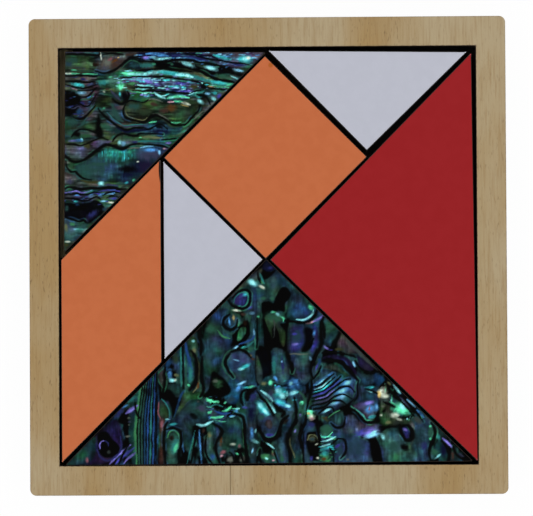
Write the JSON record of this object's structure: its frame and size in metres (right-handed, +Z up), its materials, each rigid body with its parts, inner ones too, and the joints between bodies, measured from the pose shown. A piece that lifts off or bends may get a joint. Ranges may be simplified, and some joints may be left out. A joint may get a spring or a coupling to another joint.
{
  "type": "tangram puzzle",
  "caption": "Square tangram puzzle: flat triangular, square and parallelogram tiles, two faced with shell veneer, resting loose in a shallow wooden tray.",
  "frame": {"origin": "under the middle of the square tray, on the plane it stands on", "axes": "+Z up out of the tiles' faces, +Y to the side of the tray with the top white triangle, +X to the red triangle"},
  "size_m": [0.114, 0.114, 0.006],
  "materials": {
    "rail_wood": "pale straight-grained wood, sanded and thinly sealed, with laser-burnt black edges",
    "back_board": "bare sanded board, with laser-burnt black edges",
    "red_lacquer": "satin red lacquer on board, with laser-burnt black edges",
    "orange_lacquer": "satin orange lacquer on board, with laser-burnt black edges",
    "white_lacquer": "satin cool white lacquer on board, with laser-burnt black edges",
    "carrier_board": "board, laser-burnt black on its edges",
    "shell_veneer": "iridescent blue-green shell with black growth lines under a clear gloss coat"
  },
  "bodies": {
    "root": {"tray_back": "back_board", "tray_rail": "rail_wood", "large_triangle_red": "red_lacquer", "large_triangle_board": "carrier_board", "large_triangle_shell": "shell_veneer", "medium_triangle_board": "carrier_board", "medium_triangle_shell": "shell_veneer", "square_orange": "orange_lacquer", "parallelogram_orange": "orange_lacquer", "small_triangle_white_top": "white_lacquer", "small_triangle_white_left": "white_lacquer"}
  },
  "joints": []
}
